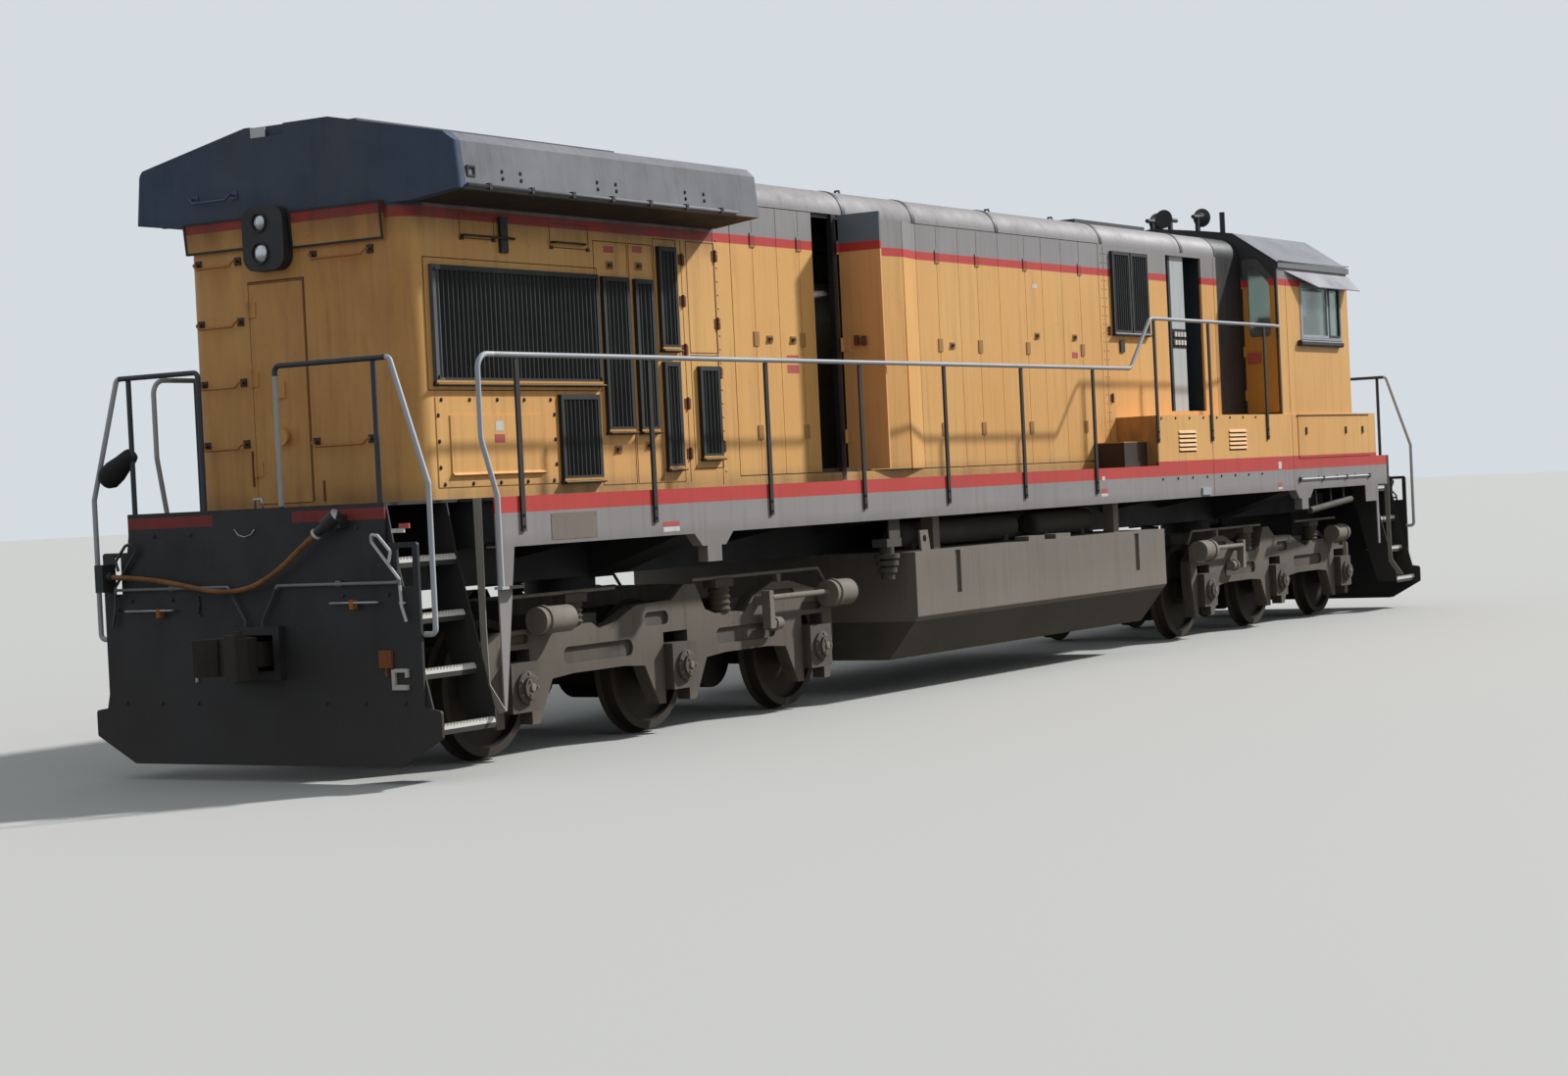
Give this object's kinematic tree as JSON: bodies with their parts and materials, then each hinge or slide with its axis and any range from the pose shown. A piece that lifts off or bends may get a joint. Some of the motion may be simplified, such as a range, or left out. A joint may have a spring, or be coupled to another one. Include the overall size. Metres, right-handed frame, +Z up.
{
  "type": "diesel locomotive",
  "caption": "Road-switcher diesel locomotive with long hood, overhanging radiator wings, hinged doors, a raised cab and swivelling six-wheel trucks whose wheelsets roll freely.",
  "frame": {"origin": "on the floor below the middle of the locomotive, level with the lowest point of the wheel flanges", "axes": "+X towards the cab end, +Y to the left side, +Z up"},
  "size_m": [20.498, 3.3, 4.9979],
  "materials": {
    "black_paint": "dusty satin black",
    "grey_paint": "weathered satin grey",
    "yellow_paint": "weathered satin yellow",
    "silver_paint": "satin silver",
    "truck_paint": "dusty grey brown",
    "wheel_steel": "rolled steel",
    "window_glass": "clear",
    "green_paint": "satin grey green",
    "cable_rubber": "brown rubber"
  },
  "bodies": {
    "root": {"brake_grilles": "black_paint", "cab_base": "yellow_paint", "cab_glass": "window_glass", "cab_interior": "green_paint", "cab_roof": "grey_paint", "cab_walls": "yellow_paint", "coupler_front": "black_paint", "coupler_rear": "black_paint", "electrical_cabinet": "black_paint", "engine_block": "green_paint", "engine_hood_frame": "yellow_paint", "engine_hood_roof": "grey_paint", "equipment_hood": "yellow_paint", "fuel_tank": "truck_paint", "handrail_front": "black_paint", "handrail_left": "silver_paint", "handrail_rear": "black_paint", "handrail_right": "silver_paint", "hood_doors_left": "yellow_paint", "hood_doors_right": "yellow_paint", "hood_trim": "grey_paint", "jumper_cable": "cable_rubber", "jumper_sockets": "black_paint", "lamps_front": "black_paint", "lamps_rear": "black_paint", "pilot_front": "black_paint", "pilot_rear": "black_paint", "radiator_grilles": "black_paint", "radiator_hood": "yellow_paint", "radiator_wings": "grey_paint", "raised_boxes": "yellow_paint", "roof_fittings": "black_paint", "short_hood": "yellow_paint", "side_sills": "grey_paint", "steps_front": "black_paint", "steps_rear": "black_paint", "underfloor_gear": "black_paint", "underframe": "black_paint"},
    "truck_rear": {"truck_frame_rear": "truck_paint", "axle_boxes_rear": "truck_paint", "truck_springs_rear": "truck_paint", "traction_motors_rear": "truck_paint", "truck_brakes_rear": "truck_paint"},
    "truck_front": {"truck_frame_front": "truck_paint", "axle_boxes_front": "truck_paint", "truck_springs_front": "truck_paint", "traction_motors_front": "truck_paint", "truck_brakes_front": "truck_paint"},
    "wheelset_1": {"wheelset_1": "wheel_steel"},
    "wheelset_2": {"wheelset_2": "wheel_steel"},
    "wheelset_3": {"wheelset_3": "wheel_steel"},
    "wheelset_4": {"wheelset_4": "wheel_steel"},
    "wheelset_5": {"wheelset_5": "wheel_steel"},
    "wheelset_6": {"wheelset_6": "wheel_steel"},
    "engine_door": {"engine_door_leaf": "yellow_paint"},
    "cab_door_rear": {"cab_door_rear": "yellow_paint", "cab_door_rear_glass": "window_glass"},
    "cab_door_front": {"cab_door_front": "yellow_paint", "cab_door_front_glass": "window_glass"},
    "end_door": {"end_door": "yellow_paint"}
  },
  "joints": [
    {"name": "truck_rear_swivel", "type": "hinge", "parent": "root", "child": "truck_rear", "pos_m": [-6.22, 0, 1.1], "axis": [0, 0, 1], "range_deg": [-5, 5]},
    {"name": "truck_front_swivel", "type": "hinge", "parent": "root", "child": "truck_front", "pos_m": [6.22, 0, 1.1], "axis": [0, 0, 1], "range_deg": [-5, 5]},
    {"name": "wheelset_1_roll", "type": "hinge", "parent": "truck_rear", "child": "wheelset_1", "pos_m": [-8.29, 0, 0.536], "axis": [0, 1, 0], "continuous": true},
    {"name": "wheelset_2_roll", "type": "hinge", "parent": "truck_rear", "child": "wheelset_2", "pos_m": [-6.22, 0, 0.536], "axis": [0, 1, 0], "continuous": true},
    {"name": "wheelset_3_roll", "type": "hinge", "parent": "truck_rear", "child": "wheelset_3", "pos_m": [-4.15, 0, 0.536], "axis": [0, 1, 0], "continuous": true},
    {"name": "wheelset_4_roll", "type": "hinge", "parent": "truck_front", "child": "wheelset_4", "pos_m": [4.15, 0, 0.536], "axis": [0, 1, 0], "continuous": true},
    {"name": "wheelset_5_roll", "type": "hinge", "parent": "truck_front", "child": "wheelset_5", "pos_m": [6.22, 0, 0.536], "axis": [0, 1, 0], "continuous": true},
    {"name": "wheelset_6_roll", "type": "hinge", "parent": "truck_front", "child": "wheelset_6", "pos_m": [8.29, 0, 0.536], "axis": [0, 1, 0], "continuous": true},
    {"name": "engine_door_swing", "type": "hinge", "parent": "root", "child": "engine_door", "pos_m": [-3.372, -1.0723, 2.2], "axis": [0, 0, 1], "range_deg": [0, 90]},
    {"name": "cab_door_rear_swing", "type": "hinge", "parent": "root", "child": "cab_door_rear", "pos_m": [5.6647, -1.078, 3], "axis": [0, 0, -1], "range_deg": [0, 85]},
    {"name": "cab_door_front_swing", "type": "hinge", "parent": "root", "child": "cab_door_front", "pos_m": [7.9233, 1.078, 3], "axis": [0, 0, -1], "range_deg": [0, 85]},
    {"name": "end_door_swing", "type": "hinge", "parent": "root", "child": "end_door", "pos_m": [-9.2433, 0.439, 2.7], "axis": [0, 0, -1], "range_deg": [0, 80]}
  ]
}
